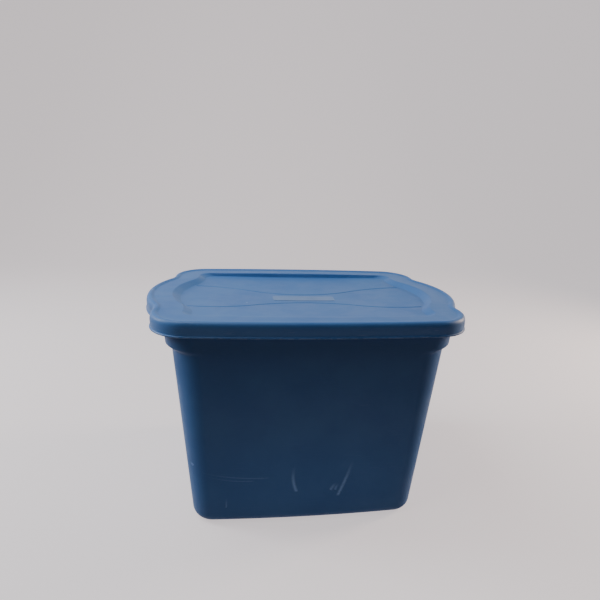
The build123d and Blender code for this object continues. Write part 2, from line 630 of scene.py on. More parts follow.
    def panel_points(self, out: float, drop: float, grooved: bool) -> list[Vector]:
        """The panel's vertices, row by row.

        Args:
            out: Distance to carry the panel's edge outward.
            drop: Distance below the panel's top surface.
            grooved: Whether the grooves are sunk into it.

        Returns:
            One point for each vertex of the grid.
        """
        ends = [self.wall_foot(s, out) for s in self.end_stations()]
        sides = [self.wall_foot(s, out) for s in self.side_stations()]
        corner = sides[-1]
        first_groove = self.below_rows
        last_groove = first_groove + len(self.groove_offsets()) - 1
        margin = self.groove.margin
        quarter = []
        for i, end in enumerate(ends):
            row = []
            for side in sides:
                share = side.x / corner.x
                x = share * end.x
                line = self.groove.line(x)
                end_line = self.groove.line(end.x)
                if i < first_groove:
                    part = end.y / (end_line - margin)
                    y, miss, off = part * (line - margin), 0.0, None
                elif i <= last_groove:
                    off = self.groove_offsets()[i - first_groove]
                    y, miss = line + off, end.y - end_line - off
                else:
                    part = (end.y - end_line - margin) / (corner.y - end_line - margin)
                    y, miss, off = blend(line + margin, side.y, part), 0.0, None
                y += miss * share**EDGE_PULL
                z = self.panel_z(x, y) - drop
                if grooved and off is not None:
                    z -= self.groove.sink(off) * smoothstep((1 - share) * end.x / GROOVE_RUNOUT)
                row.append(Vector((x, y, z)))
            quarter.append(row)
        rows = []
        for i in range(-len(ends) + 1, len(ends)):
            row = quarter[abs(i)]
            sign = -1.0 if i < 0 else 1.0
            left = [Vector((-p.x, p.y * sign, p.z)) for p in row[:0:-1]]
            right = [Vector((p.x, p.y * sign, p.z)) for p in row]
            rows.append(left + right)
        return [point for row in rows for point in row]

    def make_grid(self, name: str, points: Sequence[Vector]) -> bpy.types.Object:
        """A grid moved onto the panel, with its open edge numbered.

        Args:
            name: Name of the object.
            points: One point for each vertex, row by row.

        Returns:
            The grid.
        """
        rows, columns = len(self.end_stations()), len(self.side_stations())
        deselect_all()
        bpy.ops.mesh.primitive_grid_add(
            x_subdivisions=2 * columns - 2, y_subdivisions=2 * rows - 2, size=1.0
        )
        grid = bpy.context.object
        grid.name = name
        place_points(grid, points)
        numbers = []
        for i in range(-rows + 1, rows):
            for j in range(-columns + 1, columns):
                numbers.append(self.numbers.get((i, j), -1))
        mark_stations(grid, numbers)
        return grid

    def edge_places(self) -> dict[tuple[int, int], Station]:
        """The place on the outline of each edge vertex of the grid, by row and column.

        Returns:
            The place of each edge vertex.
        """
        ends, sides = self.end_stations(), self.side_stations()
        last_row, last_column = len(ends) - 1, len(sides) - 1
        places = {}
        for flip in FLIPS:
            for i, station in enumerate(ends):
                places[int(i * flip[1]), int(last_column * flip[0])] = station.turned(flip)
            for j, station in enumerate(sides):
                places[int(last_row * flip[1]), int(j * flip[0])] = station.turned(flip)
        return places

    def ramp(self, part: float, soft: float) -> float:
        """The recess wall's rise, rounded at its foot and its top.

        Args:
            part: How far out along the wall's lean; 0 at the foot, 1 at the top.
            soft: Half of the rounded part at each end.

        Returns:
            The rise, from 0 to 1.
        """
        if part < soft:
            return (part + soft) ** 2 / (4 * soft)
        if part > 1 - soft:
            return 1 - (1 + soft - part) ** 2 / (4 * soft)
        return part

    def wall_rings(self, stations: Sequence[Station], out: float, drop: float) -> list[Ring]:
        """Rings up the recess wall, from the panel to the border.

        Args:
            stations: The places round the recess.
            out: Distance to carry the wall outward.
            drop: Distance below the top surface.

        Returns:
            The rings, from the foot up.
        """
        rings = []
        for edge in (0.0, 1.0):
            for step in ROUND_STEPS:
                ring = []
                for station in stations:
                    foot, lean, soft = self.wall_line(station)
                    part = edge + step * soft
                    flat = foot + lean * part + lean.normalized() * out
                    base = self.panel_z(flat.x, flat.y)
                    z = blend(base, self.border_z(), self.ramp(part, soft)) - drop
                    ring.append(Vector((flat.x, flat.y, z)))
                rings.append(ring)
        return rings

    def build(self) -> bpy.types.Object:
        """Makes the lid's shell.

        Returns:
            The shell.
        """
        shell = self.make_grid("lid_shell", self.panel_points(0.0, 0.0, True))
        stations = list(self.places.values())
        arcs = self.sizes.lid_arcs()
        height = self.sizes.height
        up = self.wall_rings(stations, 0.0, 0.0)[1:]
        down = self.wall_rings(stations, self.wall, self.wall)[::-1]
        profile = []
        for inset, depth in self.crest_profile + self.inside_profile:
            plan = [s.on(arcs, inset) for s in stations]
            profile.append(level(plan, [height - depth] * len(stations)))
        rings = up + self.between(up[-1], profile[0]) + profile
        rings += self.between(profile[-1], down[0]) + down
        pull_rings(shell, rings)
        under = self.make_grid("lid_under", self.panel_points(self.wall, self.wall, False))
        make_active(shell)
        under.select_set(True)
        bpy.ops.object.join()
        close_shell(shell, SMOOTH_ANGLE)
        return shell

    def between(self, first: Ring, second: Ring) -> list[Ring]:
        """Rings evenly spaced between two others.

        Args:
            first: The ring they start from.
            second: The ring they lead to.

        Returns:
            The rings in between.
        """
        return [
            [a.lerp(b, i / BORDER_RINGS) for a, b in zip(first, second)]
            for i in range(1, BORDER_RINGS)
        ]


@dataclass
class Pad:
    """The blank raised pad in the middle of the lid, in millimetres."""

    lid: Lid
    length: float = 124.0
    width: float = 30.0
    corner: float = 6.0
    steps: int = 10
    # (inset, height over the panel), from the buried foot to the middle
    profile: tuple[Point, ...] = (
        (0.0, 0.35), (0.12, 0.58), (0.35, 0.74), (0.7, 0.8), (3.0, 0.8), (6.0, 0.8), (9.0, 0.8),
        (12.0, 0.8), (14.6, 0.8),
    )
    foot: float = -0.8

    def outline(self, inset: float) -> list[Vector]:
        """The pad's rounded outline.

        Args:
            inset: Distance in from the edge.

        Returns:
            Points in plan, in order.
        """
        radius = max(self.corner - inset, PAD_LEAST_RADIUS)
        half = Vector((self.length / 2 - inset - radius, self.width / 2 - inset - radius))
        points = []
        for quarter, (sx, sy) in enumerate(FLIPS):
            for i in range(self.steps + 1):
                angle = (quarter + i / self.steps) * pi / 2
                points.append(
                    Vector((sx * half.x + radius * cos(angle), sy * half.y + radius * sin(angle)))
                )
            following = FLIPS[(quarter + 1) % len(FLIPS)]
            angle = (quarter + 1) * pi / 2
            start = points[-1]
            stop = Vector((following[0] * half.x, following[1] * half.y))
            stop += radius * Vector((cos(angle), sin(angle)))
            run = PAD_RUN if quarter % 2 == 0 else PAD_SIDE_RUN
            points += [start.lerp(stop, i / run) for i in range(1, run)]
        return points

    def build(self) -> bpy.types.Object:
        """Makes the pad.

        Returns:
            The pad.
        """
        start = self.outline(0.0)
        deselect_all()
        bpy.ops.mesh.primitive_circle_add(vertices=len(start), fill_type="NOTHING")
        pad = bpy.context.object
        pad.name = "lid_pad"
        place_points(pad, level(start, [self.lid.panel_z(p.x, p.y) + self.foot for p in start]))
        mark_stations(pad, range(len(start)))
        rings = []
        for inset, lift in self.profile:
            plan = self.outline(inset)
            rings.append(level(plan, [self.lid.panel_z(p.x, p.y) + lift for p in plan]))
        pull_rings(pad, rings)
        close_shell(pad, SMOOTH_ANGLE)
        return pad


# ---------------------------------------------------------------- the tub


@dataclass
class Tub:
    """The open tub: foot ring, drafted walls, shoulder band and the rim that the lid presses on."""

    sizes: ToteSizes = field(default_factory=ToteSizes)
    wall: float = 2.5
    base_length: float = 425.28
    base_width: float = 341.63
    base_corner: float = 39.0
    rim_corner: float = 64.0
    rim_height: float = 402.3
    base_round: float = 19.3
    end_draft: float = 0.0787
    side_draft: float = 0.0524
    side_bow: float = 5.0
    side_span: float = 190.0
    end_bow: float = 2.0
    end_span: float = 140.0
    foot_inset: float = 28.0
    foot_height: float = 2.0
    foot_run: float = 1.6
    band_reach: float = 10.0
    band_low: float = 343.5
    band_high: float = 353.0
    band_steps: int = 10
    round_steps: int = 8
    seed_inset: float = 12.0
    channel_inset: float = 10.4
    lip_inset: float = 6.6
    lip_round: float = 0.6
    flange_low: float = 393.5
    flange_fade: float = 6.0
    wall_heights: tuple[float, ...] = (60.0, 120.0, 180.0, 240.0, 300.0, 325.0, 339.0)
    band_top_heights: tuple[float, ...] = (357.0, 368.0, 380.0, 388.0, 392.9)
    # (inset, height) round the foot ring's inner edge
    foot_profile: tuple[Point, ...] = (
        (28.9, 1.88), (28.4, 1.45), (28.0, 0.8), (27.6, 0.25), (26.9, 0.0),
    )
    # (inset, height) down inside the lip, round its edge and over the crest
    lip_profile: tuple[Point, ...] = (
        (6.6, 399.3), (6.6, 392.0), (6.6, 381.9), (6.3, 381.5), (5.7, 381.3), (5.1, 381.3),
        (4.5, 381.5), (4.2, 381.9), (4.2, 388.0), (4.2, 394.0), (4.25, 396.4), (4.5, 398.2),
        (5.0, 399.6), (5.7, 400.8), (6.6, 401.6), (7.7, 402.1), (9.0, 402.3),
    )
    # (inset, height) from the crest down to the hand flange
    mouth_profile: tuple[Point, ...] = (
        (10.2, 402.05), (11.2, 401.4), (12.0, 400.5), (12.5, 399.4), (12.75, 398.2),
    )
    # (inset, height where there is a flange, height where there is none)
    step_profile: tuple[tuple[float, float, float], ...] = (
        (12.8, 396.8, 397.4), (13.2, 396.1, 397.0), (14.0, 395.9, 396.6),
    )
    # (distance out from the inner wall, height with a flange, height without)
    drop_profile: tuple[tuple[float, float, float], ...] = (
        (0.8, 395.9, 396.2), (0.2, 395.65, 395.7), (0.0, 395.0, 395.0),
    )
    counts: tuple[int, ...] = (22, 16, 28, 30)
    rib_places: tuple[float, ...] = (68.0, 100.0)
    rib_thickness: float = 2.4
    rib_low: float = 382.2
    rib_high: float = 394.2
    rib_bury: float = 0.8
    rib_bevel: float = 0.5

    def __post_init__(self) -> None:
        """Works out the places round the rim and the seeds of the body's outline."""
        self.arcs = self.sizes.lid_arcs()
        self.stations = self.all_stations()
        self.seeds = [s.on(self.arcs, self.seed_inset) for s in self.stations]
        self.normals = [self.outward(s) for s in self.stations]

    def all_stations(self) -> list[Station]:
        """Places round the whole rim, in order.

        Returns:
            The places.
        """
        quarter = []
        for stretch, count in zip(Stretch, self.counts):
            quarter += [Station(stretch, i / count) for i in range(count)]
        last = Station(Stretch.SIDE, 1.0)
        loop = []
        for turn, flip in enumerate(FLIPS):
            part = quarter if turn % 2 == 0 else ([last] + quarter[:0:-1])
            loop += [station.turned(flip) for station in part]
        return loop

    def outward(self, station: Station) -> Vector:
        """The outward direction at a place on the rim.

        Args:
            station: The place.

        Returns:
            A unit direction in plan.
        """
        x, y = self.arcs[station.stretch.value].outward(station.fraction)
        return Vector((x * station.flip[0], y * station.flip[1]))

    def body_point(self, seed: Vector, z: float, inset: float, band: float) -> Vector:
        """The place on the body's outline nearest to a seed.

        Args:
            seed: A point in plan.
            z: Height of the outline.
            inset: Distance in from the outline.
            band: 0 below the shoulder band, 1 above it.

        Returns:
            The place in plan.
        """
        end_radius = bow_radius(self.end_bow, self.end_span)
        side_radius = bow_radius(self.side_bow, self.side_span)
        half_length = self.base_length / 2 + z * self.end_draft + band * self.band_reach
        end = (half_length - end_radius, 0.0)
        side = (0.0, self.base_width / 2 + z * self.side_draft - side_radius)
        radius = blend(self.base_corner, self.rim_corner, z / self.rim_height)
        corner = circles_meet(end, end_radius - radius, side, side_radius - radius, 1)
        x, y = abs(seed.x), abs(seed.y)
        centre = corner
        if atan2(y - side[1], x) >= atan2(corner[1] - side[1], corner[0]):
            centre, radius = side, side_radius
        elif atan2(y, x - end[0]) <= atan2(corner[1], corner[0] - end[0]):
            centre, radius = end, end_radius
        away = Vector((x - centre[0], y - centre[1])).normalized() * (radius - inset)
        near = Vector(centre) + away
        sign_x, sign_y = (1 if seed.x >= 0 else -1), (1 if seed.y >= 0 else -1)
        return Vector((near.x * sign_x, near.y * sign_y))

    def body_ring(self, z: float, inset: float, band: float) -> Ring:
        """A ring on the body.

        Args:
            z: Height of the ring.
            inset: Distance in from the outline.
            band: 0 below the shoulder band, 1 above it.

        Returns:
            The ring.
        """
        plan = [self.body_point(seed, z, inset, band) for seed in self.seeds]
        return level(plan, [z] * len(plan))

    def outermost(self, rim_inset: float, body_inset: float, z: float) -> Ring:
        """A ring that follows the rim, or the body where the body reaches further out.

        Args:
            rim_inset: Distance in from the rim's outline.
            body_inset: Distance in from the body's outline.
            z: Height of the ring.

        Returns:
            The ring.
        """
        ring = []
        for station, seed, normal in zip(self.stations, self.seeds, self.normals):
            rim = station.on(self.arcs, rim_inset)
            body = self.body_point(seed, z, body_inset, 1.0)
            chosen = body if (body - rim).dot(normal) > 0 else rim
            ring.append(Vector((chosen.x, chosen.y, z)))
        return ring

    def flange_shares(self) -> list[float]:
        """How much of a hand flange there is at each place.

        Returns:
            Shares from 0, on the long sides, to 1, at the ends.
        """
        shares = []
        for station, seed, normal in zip(self.stations, self.seeds, self.normals):
            rim = station.on(self.arcs, self.step_profile[-1][0])
            body = self.body_point(seed, self.flange_low, self.wall, 1.0)
            shares.append(smoothstep((rim - body).dot(normal) / self.flange_fade))
        return shares

    def rim_ring(self, inset: float, z: float) -> Ring:
        """A ring that follows the rim.

        Args:
            inset: Distance in from the rim's outline.
            z: Height of the ring.

        Returns:
            The ring.
        """
        plan = [s.on(self.arcs, inset) for s in self.stations]
        return level(plan, [z] * len(plan))

    def band_at(self, z: float) -> float:
        """How far the shoulder band has stepped out at a height.

        Args:
            z: The height.

        Returns:
            From 0 below the band to 1 above it.
        """
        return smoothstep((z - self.band_low) / (self.band_high - self.band_low))

    def band_heights(self) -> list[float]:
        """Heights of the rings through the shoulder band.

        Returns:
            The heights, going up.
        """
        steps = self.band_steps
        return [blend(self.band_low, self.band_high, i / steps) for i in range(steps + 1)]

    def outer_rings(self) -> list[Ring]:
        """Rings from the foot ring up the outside to under the hand flange.

        Returns:
            The rings.
        """
        rings = [self.body_ring(z, inset, 0.0) for inset, z in self.foot_profile]
        for i in range(self.round_steps + 1):
            turn = i / self.round_steps * pi / 2
            inset = self.base_round * (1 - sin(turn))
            rings.append(self.body_ring(self.base_round * (1 - cos(turn)), inset, 0.0))
        heights = list(self.wall_heights) + self.band_heights() + list(self.band_top_heights)
        rings += [self.body_ring(z, 0.0, self.band_at(z)) for z in heights]
        return rings

    def rim_rings(self) -> list[Ring]:
        """Rings out under the hand flange, round the lip, over the crest and down to the flange.

        Returns:
            The rings.
        """
        low, channel, bend = self.flange_low, self.channel_inset, self.lip_round
        inner_top = self.lip_profile[0][1]
        rings = [self.outermost(channel + bend, 0.0, low), self.outermost(channel, 0.0, low + bend)]
        rings.append(self.outermost(channel, 0.0, inner_top))
        lip = self.rim_ring(self.lip_inset, inner_top)
        for part in LIP_ARCH:
            ring = [a.lerp(b, part) + Vector((0, 0, bend)) for a, b in zip(rings[2], lip)]
            rings.append(ring)
        rings += [self.rim_ring(inset, z) for inset, z in self.lip_profile]
        rings += [self.outermost(inset, self.wall, z) for inset, z in self.mouth_profile]
        shares = self.flange_shares()
        for inset, with_flange, without in self.step_profile:
            ring = self.outermost(inset, self.wall, without)
            for point, share in zip(ring, shares):
                point.z = blend(without, with_flange, share)
            rings.append(ring)
        for out, with_flange, without in self.drop_profile:
            ring = []
            for seed, share in zip(self.seeds, shares):
                z = blend(without, with_flange, share)
                flat = self.body_point(seed, z, self.wall - out * share, 1.0)
                ring.append(Vector((flat.x, flat.y, z)))
            rings.append(ring)
        return rings

    def inner_rings(self) -> list[Ring]:
        """Rings down the inside to the floor.

        Returns:
            The rings.
        """
        heights = list(self.wall_heights) + self.band_heights() + list(self.band_top_heights)
        rings = [self.body_ring(z, self.wall, self.band_at(z)) for z in heights[::-1]]
        floor = self.wall + self.foot_height
        radius = self.base_round - self.wall
        for i in range(self.round_steps + 1):
            turn = (1 - i / self.round_steps) * pi / 2
            inset = self.wall + radius * (1 - sin(turn))
            rings.append(self.body_ring(floor + radius * (1 - cos(turn)), inset, 0.0))
        return rings

    def build(self) -> bpy.types.Object:
        """Makes the tub's shell.

        Returns:
            The shell.
        """
        deselect_all()
        bpy.ops.mesh.primitive_circle_add(vertices=len(self.stations), fill_type="NOTHING")
        shell = bpy.context.object
        shell.name = "tub_shell"
        place_points(shell, self.body_ring(self.foot_height, self.foot_inset + self.foot_run, 0.0))
        mark_stations(shell, range(len(self.stations)))
        pull_rings(shell, self.outer_rings() + self.rim_rings() + self.inner_rings())
        close_shell(shell, SMOOTH_ANGLE)
        return shell

    def build_ribs(self) -> bpy.types.Object:
        """Makes the ribs under the hand flange, beside the two hand holds.

        Returns:
            The ribs, as one object.
        """
        ribs = []
        for end in (-1, 1):
            for side in (-1, 1):
                for place in self.rib_places:
                    ribs.append(self.build_rib(end, side * place))
        make_active(ribs[0])
        for rib in ribs[1:]:
            rib.select_set(True)
        bpy.ops.object.join()
        ribs[0].name = "hand_hold_ribs"
        return ribs[0]

    def build_rib(self, end: int, y: float) -> bpy.types.Object:
        """Makes one rib from the body's wall to the lip.

        Args:
            end: 1 for the +X end, -1 for the -X end.
            y: Distance from the middle line.

        Returns:
            The rib.
        """
        lip = station_at(self.arcs, abs(y)).on(self.arcs, self.lip_inset).x + self.rib_bury
        wall = self.body_point(Vector((lip, y)), self.rib_low, self.rib_bury, 1.0).x
        size = Vector((lip - wall, self.rib_thickness, self.rib_high - self.rib_low))
        centre = Vector((end * (lip + wall) / 2, y, (self.rib_high + self.rib_low) / 2))
        deselect_all()
        bpy.ops.mesh.primitive_cube_add(size=1.0, location=centre * MM)
        rib = bpy.context.object
        rib.scale = size * MM
        bpy.ops.object.transform_apply(location=True, rotation=False, scale=True)
        bpy.ops.object.mode_set(mode="EDIT")
        bpy.ops.mesh.select_all(action="SELECT")
        bpy.ops.mesh.bevel(offset=self.rib_bevel * MM, segments=2, affect="EDGES")
        bpy.ops.object.mode_set(mode="OBJECT")
        bpy.ops.object.shade_smooth_by_angle(angle=radians(SMOOTH_ANGLE))
        return rib


# ---------------------------------------------------------------- finishes


def to_linear(colour: str) -> tuple[float, float, float, float]:
    """Turns an sRGB colour into the linear values that a shader takes.

    Args:
        colour: The colour as #RRGGBB.

    Returns:
        Linear red, green, blue and an alpha of 1.
    """
    values = [int(colour[i : i + 2], 16) / 255 for i in (1, 3, 5)]
    linear = [v / 12.92 if v <= 0.04045 else ((v + 0.055) / 1.055) ** 2.4 for v in values]
    return linear[0], linear[1], linear[2], 1.0


class Node(Enum):
    """The kinds of shader node in use."""

    BUMP = "ShaderNodeBump"
    GEOMETRY = "ShaderNodeNewGeometry"
    LIGHT_PATH = "ShaderNodeLightPath"
    MAPPING = "ShaderNodeMapping"
    MATH = "ShaderNodeMath"
    MIX = "ShaderNodeMix"
    NOISE = "ShaderNodeTexNoise"
    PLACE = "ShaderNodeTexCoord"
    RANGE = "ShaderNodeMapRange"
    SPLIT = "ShaderNodeSeparateXYZ"
    VECTOR = "ShaderNodeVectorMath"


def add_node(
    tree: bpy.types.NodeTree,
    kind: Node,
    inputs: dict | None = None,
    out: int | str = 0,
    **settings: str,
) -> bpy.types.NodeSocket:
    """Adds a shader node, sets it up and wires it.

    Args:
        tree: The node tree.
        kind: The kind of node.
        inputs: For each input's name or number, a value or the socket that feeds it.
        out: Name or number of the output wanted.
        **settings: The node's own properties.

    Returns:
        The output's socket.
    """
    node = tree.nodes.new(kind.value)
    for name, value in settings.items():
        setattr(node, name, value)
    for name, value in (inputs or {}).items():
        if isinstance(value, bpy.types.NodeSocket):
            tree.links.new(value, node.inputs[name])
        else:
            node.inputs[name].default_value = value
    return node.outputs[out]


def per_metre(size_mm: float) -> float:
    """The pattern scale that gives features of a size.

    Args:
        size_mm: Size of a feature, in millimetres.

    Returns:
        The scale for a pattern on metre coordinates.
    """
    return 1 / (size_mm * MM)


@dataclass(frozen=True)
class Stroke:
    """A scuff on the front wall, or flat on the lid: bowed, with soft edges, heavier at its end."""

    start: Point
    stop: Point
    bow: float
    width: float
    strength: float
    flat: bool = False

    def lift(self, x: float, rise: float) -> Vector:
        """Turns a direction on the scuffed face into one in space.

        Args:
            x: Its part along the tote.
            rise: Its part up the wall, or across the lid.

        Returns:
            The direction.
        """
        return Vector((x, rise, 0.0)) if self.flat else Vector((x, 0.0, rise))

    def mask(self, tree: bpy.types.NodeTree, place: bpy.types.NodeSocket) -> bpy.types.NodeSocket:
        """Where the scuff shows.

        Args:
            tree: The material's node tree.
            place: The object's coordinates.

        Returns:
            A socket that is 0 away from the scuff and its strength on it.
        """
        run = Vector((self.stop[0] - self.start[0], self.stop[1] - self.start[1]))
        length = run.length
        run.normalize()
        way, square = self.lift(run.x, run.y), self.lift(-run.y, run.x)
        first = self.lift(*self.start)
        along = self.measure(tree, place, way / (length * MM), way.dot(first) / length)
        across = self.measure(tree, place, square / MM, square.dot(first))
        half = add_node(tree, Node.MATH, {0: along, 1: 0.5}, operation="SUBTRACT")
        arch = add_node(tree, Node.MATH, {0: half, 1: half}, operation="MULTIPLY")
        arch = add_node(
            tree, Node.MATH, {0: arch, 1: STROKE_ARCH, 2: 1.0}, operation="MULTIPLY_ADD"
        )
        rise = add_node(tree, Node.MATH, {0: arch, 1: self.bow}, operation="MULTIPLY")
        off = add_node(tree, Node.MATH, {0: across, 1: rise}, operation="SUBTRACT")
        off = add_node(tree, Node.MATH, {0: off}, operation="ABSOLUTE")
        near = {"Value": off, "From Max": self.width, "To Min": self.strength, "To Max": 0.0}
        line = add_node(tree, Node.RANGE, near, **EASED)
        head = add_node(tree, Node.RANGE, {"Value": along, "From Max": STROKE_HEAD}, **EASED)
        end = {"Value": along, "From Min": STROKE_TAIL, "To Min": 1.0, "To Max": 0.0}
        tail = add_node(tree, Node.RANGE, end, **EASED)
        gate = add_node(tree, Node.MATH, {0: head, 1: tail}, operation="MULTIPLY")
        return add_node(tree, Node.MATH, {0: line, 1: gate}, operation="MULTIPLY")

    @staticmethod
    def measure(
        tree: bpy.types.NodeTree, place: bpy.types.NodeSocket, way: Vector, start: float
    ) -> bpy.types.NodeSocket:
        """Distance along a direction.

        Args:
            tree: The material's node tree.
            place: The object's coordinates.
            way: The direction, scaled to the unit wanted.
            start: The value to count from.

        Returns:
            The distance's socket.
        """
        dot = add_node(
            tree, Node.VECTOR, {0: place, 1: tuple(way)}, "Value", operation="DOT_PRODUCT"
        )
        return add_node(tree, Node.MATH, {0: dot, 1: start}, operation="SUBTRACT")


@dataclass(frozen=True)
class MouldedPolyethylene:
    """Injection-moulded blue polyethylene: waxy sheen, fine grain, slow waves, light rubbing with a
    painted highlight on convex edges, and painted shade in concave creases.
    """

    name: str
    colour: str
    shade: str
    # rub colour: pale, laid on convex edges as wear and as a painted highlight
    rub_highlight_colour: str
    smoothest: float
    roughest: float
    shine: float
    cloud_mm: float = 90.0
    wave_mm: float = 34.0
    wave_depth_mm: float = 0.06
    grain_mm: float = 0.9
    grain_depth_mm: float = 0.02
    scratch_length_mm: float = 46.0
    scratch_width_mm: float = 0.9
    scratch_from: float = 0.66
    scratch_to: float = 0.74
    scratch_strength: float = 0.25
    scratch_turn: float = 0.35
    # pale rub on convex edges, by pointiness: partly wear, partly a painted highlight on crests and
    # rims
    rub_highlight_from: float = 0.53
    rub_highlight_to: float = 0.62
    rub_highlight_strength: float = 0.3
    # painted shade: a dark navy laid into concave creases, grooves and hollows, where shade falls
    crease_shade_colour: str = "#23364F"
    crease_shade_from: float = 0.485
    crease_shade_to: float = 0.42
    crease_shade_strength: float = 0.6
    patch_from: float = 0.42
    patch_to: float = 0.62
    spot_from: float = 0.4
    spot_to: float = 0.6
    soft_from: float = 0.3
    soft_to: float = 0.7
    worn_roughness: float = 0.25
    front_y: float = -0.12
    break_mm: float = 3.0
    break_from: float = 0.2
    break_to: float = 0.45
    strokes: tuple[Stroke, ...] = ()

    def pattern(
        self, place: bpy.types.NodeSocket, size_mm: float, detail: float = 2.0
    ) -> dict[str, bpy.types.NodeSocket | float]:
        """The inputs of a noise pattern with features of a size.

        Args:
            place: The coordinates.
            size_mm: Size of a feature.
            detail: How many finer layers it has.

        Returns:
            The values by input.
        """
        return {"Vector": place, "Scale": per_metre(size_mm), "Detail": detail}

    def scratches(
        self, tree: bpy.types.NodeTree, place: bpy.types.NodeSocket
    ) -> bpy.types.NodeSocket:
        """Fine long scratches, in patches.

        Args:
            tree: The material's node tree.
            place: The coordinates.

        Returns:
            The scratches' mask.
        """
        stretch = (self.scratch_width_mm / self.scratch_length_mm, 1.0, 1.0)
        turn = (0.0, self.scratch_turn, self.scratch_turn)
        turned = add_node(
            tree, Node.MAPPING, {"Vector": place, "Rotation": turn, "Scale": stretch}
        )
        fine = add_node(tree, Node.NOISE, self.pattern(turned, self.scratch_width_mm, 0.0))
        patch = add_node(tree, Node.NOISE, self.pattern(place, self.cloud_mm / 2))
        cut = {
            "Value": fine,
            "From Min": self.scratch_from,
            "From Max": self.scratch_to,
            "To Max": self.scratch_strength,
        }
        line = add_node(tree, Node.RANGE, cut, **EASED)
        edge = {"Value": patch, "From Min": self.patch_from, "From Max": self.patch_to}
        gate = add_node(tree, Node.RANGE, edge, **EASED)
        return add_node(tree, Node.MATH, {0: line, 1: gate}, operation="MULTIPLY")

    def scuffs(
        self,
        tree: bpy.types.NodeTree,
        place: bpy.types.NodeSocket,
        wear_and_edge_highlight: bpy.types.NodeSocket,
    ) -> bpy.types.NodeSocket:
        """Adds the drawn scuffs to the mask of worn places and painted edge highlights; those on
        the wall only on its front, and broken up.

        Args:
            tree: The material's node tree.
            place: The object's coordinates.
            wear_and_edge_highlight: The mask so far, of worn places and painted edge highlights.

        Returns:
            The mask with the scuffs.
        """
        y = add_node(tree, Node.SPLIT, {0: place}, "Y")
        face = {"Value": y, "From Min": self.front_y, "From Max": 0.0, "To Min": 1.0, "To Max": 0.0}
        front = add_node(tree, Node.RANGE, face, **EASED)
        broken = add_node(tree, Node.NOISE, self.pattern(place, self.break_mm))
        gaps = {"Value": broken, "From Min": self.break_from, "From Max": self.break_to}
        broken = add_node(tree, Node.RANGE, gaps, **EASED)
        gate = add_node(tree, Node.MATH, {0: front, 1: broken}, operation="MULTIPLY")
        for stroke in self.strokes:
            mark = stroke.mask(tree, place)
            if not stroke.flat:
                mark = add_node(tree, Node.MATH, {0: mark, 1: gate}, operation="MULTIPLY")
            wear_and_edge_highlight = add_node(tree, Node.MATH, {0: wear_and_edge_highlight, 1: mark}, operation="MAXIMUM")
        return wear_and_edge_highlight

    def wear_and_edge_highlight(
        self,
        tree: bpy.types.NodeTree,
        place: bpy.types.NodeSocket,
        bent: bpy.types.NodeSocket,
    ) -> bpy.types.NodeSocket:
        """Where the plastic is scratched or scuffed pale, and where convex edges are rubbed pale,
        partly worn and partly a painted highlight.

        Args:
            tree: The material's node tree.
            place: The object's coordinates.
            bent: How sharply the surface turns.

        Returns:
            The mask.
        """
        # pale rub on convex edges: wear together with a painted highlight
        edges = {
            "Value": bent,
            "From Min": self.rub_highlight_from,
            "From Max": self.rub_highlight_to,
            "To Max": self.rub_highlight_strength,
        }
        rub_and_highlight = add_node(tree, Node.RANGE, edges, **EASED)
        patchy = add_node(tree, Node.NOISE, self.pattern(place, self.wave_mm / 4, 4.0))
        spots = {"Value": patchy, "From Min": self.spot_from, "From Max": self.spot_to}
        patchy = add_node(tree, Node.RANGE, spots, **EASED)
        rub_and_highlight = add_node(tree, Node.MATH, {0: rub_and_highlight, 1: patchy}, operation="MULTIPLY")
        scratched = self.scratches(tree, place)
        wear_and_edge_highlight = add_node(tree, Node.MATH, {0: scratched, 1: rub_and_highlight}, operation="MAXIMUM")
        return self.scuffs(tree, place, wear_and_edge_highlight) if self.strokes else wear_and_edge_highlight

    def build(self) -> bpy.types.Material:
        """Makes the material.

        Returns:
            The material.
        """
        material = bpy.data.materials.new(self.name)
        material.use_nodes = True
        tree = material.node_tree
        shader = tree.nodes["Principled BSDF"]
        place = add_node(tree, Node.PLACE, out="Object")
        bent = add_node(tree, Node.GEOMETRY, out="Pointiness")
        wear_and_edge_highlight = self.wear_and_edge_highlight(tree, place, bent)
        cloud = add_node(tree, Node.NOISE, self.pattern(place, self.cloud_mm, 3.0))
        soft = {"Value": cloud, "From Min": self.soft_from, "From Max": self.soft_to}
        cloud = add_node(tree, Node.RANGE, soft, **EASED)
